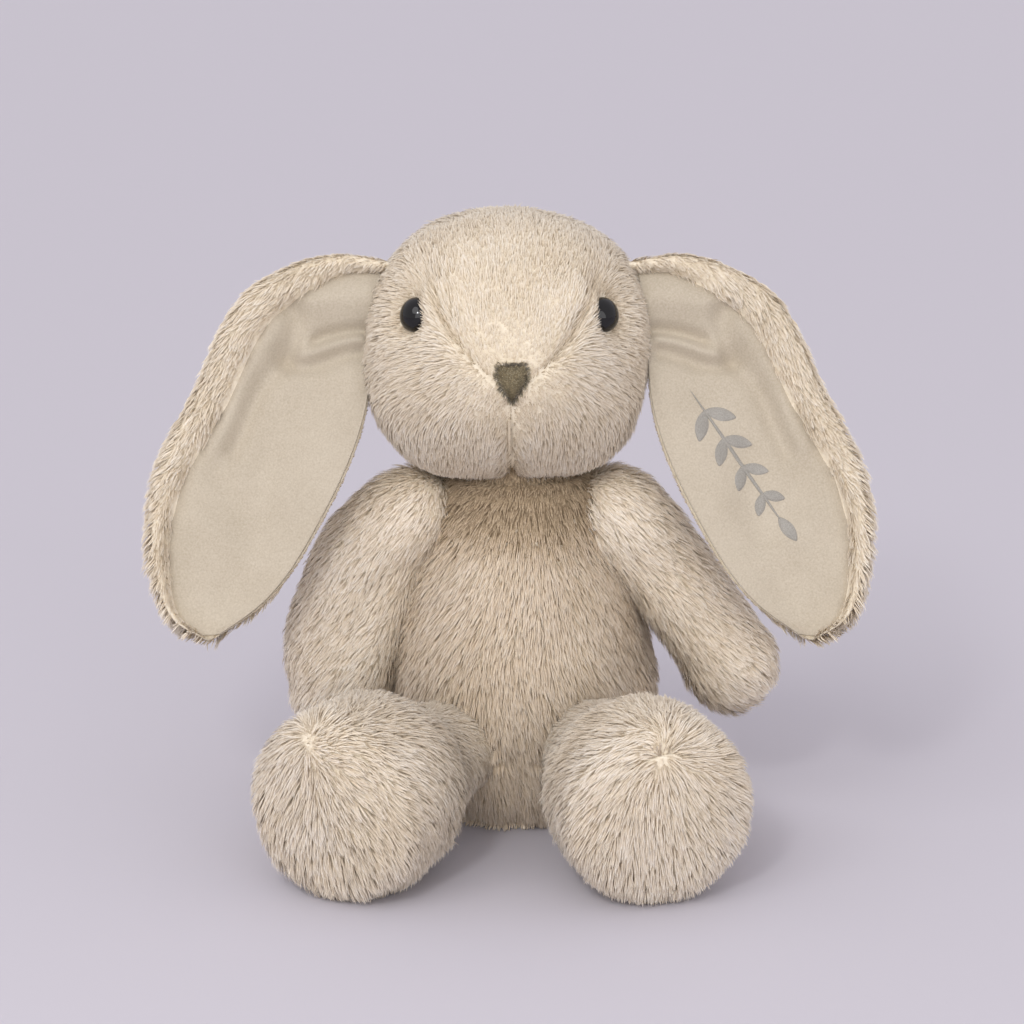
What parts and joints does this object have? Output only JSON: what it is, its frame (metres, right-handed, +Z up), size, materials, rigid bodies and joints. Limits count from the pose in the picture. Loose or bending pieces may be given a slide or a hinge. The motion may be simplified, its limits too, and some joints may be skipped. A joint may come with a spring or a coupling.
{
  "type": "stuffed bunny rabbit",
  "caption": "Seated lop-eared plush rabbit with stuffed head, body, arms and legs, hanging lined ears, button eyes and a small tail.",
  "frame": {"origin": "on the ground under the middle of the whole seated toy", "axes": "+Z up; the rabbit faces -Y; +X is towards its own left side"},
  "size_m": [0.273, 0.214, 0.238],
  "materials": {
    "cream_fur": "matte",
    "ear_velour": "matte",
    "nose_plush": "matte",
    "grey_thread": "satin",
    "cream_thread": "matte",
    "label_satin": "satin",
    "pellets": "matte",
    "pouch_cotton": "matte",
    "fibrefill": "matte",
    "black_plastic": "gloss",
    "white_plastic": "matte"
  },
  "bodies": {
    "body": {"body_front_panel": "cream_fur", "body_back_left_panel": "cream_fur", "body_back_right_panel": "cream_fur", "body_stuffing": "fibrefill", "bean_pouch": "pouch_cotton", "bean_fill": "pellets", "care_label": "label_satin"},
    "neck": {"neck_stuffing": "fibrefill", "neck_seam_thread": "cream_thread"},
    "head": {"head_left_cheek_panel": "cream_fur", "head_right_cheek_panel": "cream_fur", "head_forehead_gusset": "cream_fur", "head_back_panel": "cream_fur", "head_stuffing": "fibrefill", "eye_left": "black_plastic", "eye_right": "black_plastic", "eye_left_washer": "white_plastic", "eye_right_washer": "white_plastic", "nose_patch": "nose_plush", "chin_seam_thread": "cream_thread"},
    "ear_left": {"ear_left_outer": "cream_fur", "ear_left_lining": "ear_velour", "ear_left_embroidery": "grey_thread"},
    "ear_right": {"ear_right_outer": "cream_fur", "ear_right_lining": "ear_velour"},
    "arm_left": {"arm_left_outer_panel": "cream_fur", "arm_left_inner_panel": "cream_fur", "arm_left_stuffing": "fibrefill"},
    "leg_left": {"leg_left_outer_panel": "cream_fur", "leg_left_inner_panel": "cream_fur", "leg_left_sole_panel": "cream_fur", "leg_left_stuffing": "fibrefill", "leg_left_pellet_pouch": "pouch_cotton"},
    "arm_right": {"arm_right_outer_panel": "cream_fur", "arm_right_inner_panel": "cream_fur", "arm_right_stuffing": "fibrefill"},
    "leg_right": {"leg_right_outer_panel": "cream_fur", "leg_right_inner_panel": "cream_fur", "leg_right_sole_panel": "cream_fur", "leg_right_stuffing": "fibrefill", "leg_right_pellet_pouch": "pouch_cotton"},
    "tail": {"tail_cover": "cream_fur", "tail_stuffing": "fibrefill"}
  },
  "joints": [
    {"name": "neck_tilt", "type": "hinge", "parent": "body", "child": "neck", "pos_m": [0.003, 0.01904, 0.134], "axis": [0, 1, 0], "range_deg": [-12, 12], "stiffness_Nm_per_rad": 0.5},
    {"name": "head_nod", "type": "hinge", "parent": "neck", "child": "head", "pos_m": [0.003, 0.01904, 0.134], "axis": [1, 0, 0], "range_deg": [-6, 14], "stiffness_Nm_per_rad": 0.5},
    {"name": "ear_left_lift", "type": "hinge", "parent": "head", "child": "ear_left", "pos_m": [0.0415, 0.01504, 0.221], "axis": [0, -0.9397, 0.342], "range_deg": [0, 80]},
    {"name": "ear_right_lift", "type": "hinge", "parent": "head", "child": "ear_right", "pos_m": [-0.0415, 0.01504, 0.221], "axis": [0, 0.9397, -0.342], "range_deg": [0, 80]},
    {"name": "arm_left_raise", "type": "hinge", "parent": "body", "child": "arm_left", "pos_m": [0.0445, 0.01304, 0.118], "axis": [0, -1, 0], "range_deg": [0, 52]},
    {"name": "arm_right_raise", "type": "hinge", "parent": "body", "child": "arm_right", "pos_m": [-0.0415, 0.01304, 0.118], "axis": [0, 1, 0], "range_deg": [0, 70]},
    {"name": "leg_left_swing", "type": "hinge", "parent": "body", "child": "leg_left", "pos_m": [0.033, -0.01896, 0.035], "axis": [1, 0, 0], "range_deg": [-12, 80]},
    {"name": "leg_right_swing", "type": "hinge", "parent": "body", "child": "leg_right", "pos_m": [-0.025, -0.01896, 0.035], "axis": [1, 0, 0], "range_deg": [-12, 80]},
    {"name": "tail_wag", "type": "hinge", "parent": "body", "child": "tail", "pos_m": [0.0045, 0.07654, 0.036], "axis": [0, 0, 1], "range_deg": [-20, 20], "stiffness_Nm_per_rad": 0.02}
  ]
}
